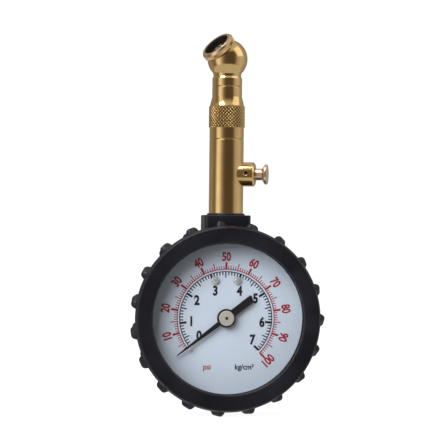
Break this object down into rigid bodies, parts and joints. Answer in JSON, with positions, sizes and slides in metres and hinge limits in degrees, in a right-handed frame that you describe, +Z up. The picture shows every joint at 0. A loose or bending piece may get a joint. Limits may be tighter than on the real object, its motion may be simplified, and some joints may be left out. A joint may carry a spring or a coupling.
{
  "type": "tire pressure gauge",
  "caption": "Dial tire pressure gauge in a black rubber boot, with a brass stem, a bleed button and a swivelling angled chuck.",
  "frame": {"origin": "centre of the boot's flat back face, on the dial's axis", "axes": "+Z runs up the brass stem towards the chuck, the dial faces -Y, and the bleed button points to +X turned 15.5 degrees towards -Y"},
  "size_m": [0.0634, 0.027, 0.126],
  "materials": {
    "boot_rubber": "satin moulded",
    "seal_rubber": "smooth",
    "black_steel": "satin black",
    "clear_plastic": "clear polished",
    "dial_white": "semi-matt white, printed scales",
    "pointer_black": "satin black",
    "brass": "polished",
    "rose_brass": "polished",
    "steel": "bright",
    "phosphor_bronze": "drawn",
    "nylon": "natural"
  },
  "bodies": {
    "gauge_body": {"rubber_boot": "boot_rubber", "gauge_case": "black_steel", "bezel_ring": "black_steel", "lens": "clear_plastic", "lens_gasket": "seal_rubber", "dial_plate": "dial_white", "dial_screw_left": "steel", "dial_screw_right": "steel", "pointer_stop_pin": "steel", "hairspring": "phosphor_bronze", "hairspring_stud": "brass", "movement_front_plate": "brass", "movement_back_plate": "brass", "movement_pillar_upper_left": "brass", "movement_pillar_upper_right": "brass", "movement_pillar_lower_left": "brass", "movement_screw_left": "steel", "movement_screw_right": "steel", "socket_block": "brass", "stem_tube": "brass", "stem_washer": "seal_rubber", "sleeve_seal": "seal_rubber", "check_valve_seat": "nylon", "check_valve_spring": "steel", "knurled_sleeve": "brass", "bleed_valve_body": "brass", "bleed_spring": "steel"},
    "pointer_set": {"pointer": "pointer_black", "pointer_cap": "steel", "pinion_arbor": "steel", "hairspring_collet": "brass"},
    "sector": {"sector_gear": "brass", "sector_arbor": "steel", "link_pin_sector": "steel"},
    "link_bar": {"link": "brass"},
    "bourdon": {"bourdon_tube": "phosphor_bronze", "bourdon_tip": "brass", "link_pin_tip": "steel"},
    "swivel_head": {"chuck_head": "brass", "chuck_ring": "brass", "chuck_seal": "seal_rubber", "valve_depressor": "brass", "swivel_seal": "seal_rubber", "swivel_clip": "steel"},
    "bleed_plunger": {"bleed_button": "rose_brass", "bleed_seal": "seal_rubber", "bleed_poppet": "brass"},
    "check_poppet": {"check_valve_poppet": "nylon"}
  },
  "joints": [
    {"name": "pointer_turn", "type": "hinge", "parent": "gauge_body", "child": "pointer_set", "pos_m": [0, -0.0185, 0], "axis": [0, 1, 0], "range_deg": [0, 262.5], "stiffness_Nm_per_rad": 0.0002, "springref_deg": -20.05},
    {"name": "sector_turn", "type": "hinge", "parent": "gauge_body", "child": "sector", "pos_m": [0, -0.0145, -0.0132], "axis": [0, 1, 0], "range_deg": [-26.25, 0]},
    {"name": "link_turn", "type": "hinge", "parent": "sector", "child": "link_bar", "pos_m": [0.00487, -0.0132, -0.01434], "axis": [0, 1, 0], "range_deg": [0, 30.43]},
    {"name": "bourdon_flex", "type": "hinge", "parent": "gauge_body", "child": "bourdon", "pos_m": [-0.00394, -0.0131, 0.01705], "axis": [0, 1, 0], "range_deg": [-4.51, 0]},
    {"name": "head_swivel", "type": "hinge", "parent": "gauge_body", "child": "swivel_head", "pos_m": [0, -0.0145, 0.0765], "axis": [0, 0, 1], "continuous": true},
    {"name": "bleed_press", "type": "slide", "parent": "gauge_body", "child": "bleed_plunger", "axis": [-0.9636, 0.2672, 0], "range_m": [0, 0.0015], "stiffness_N_per_m": 2000, "springref_m": -0.0005},
    {"name": "check_valve_open", "type": "slide", "parent": "gauge_body", "child": "check_poppet", "axis": [0, 0, -1], "range_m": [0, 0.001], "stiffness_N_per_m": 100, "springref_m": -0.0005, "deforming": ["check_valve_spring"]}
  ],
  "couplings": [
    {"joint": "sector_turn", "follows": "pointer_turn", "ratio": -0.1},
    {"joint": "link_turn", "follows": "pointer_turn", "ratio": 0.11589},
    {"joint": "bourdon_flex", "follows": "pointer_turn", "ratio": -0.01717}
  ]
}
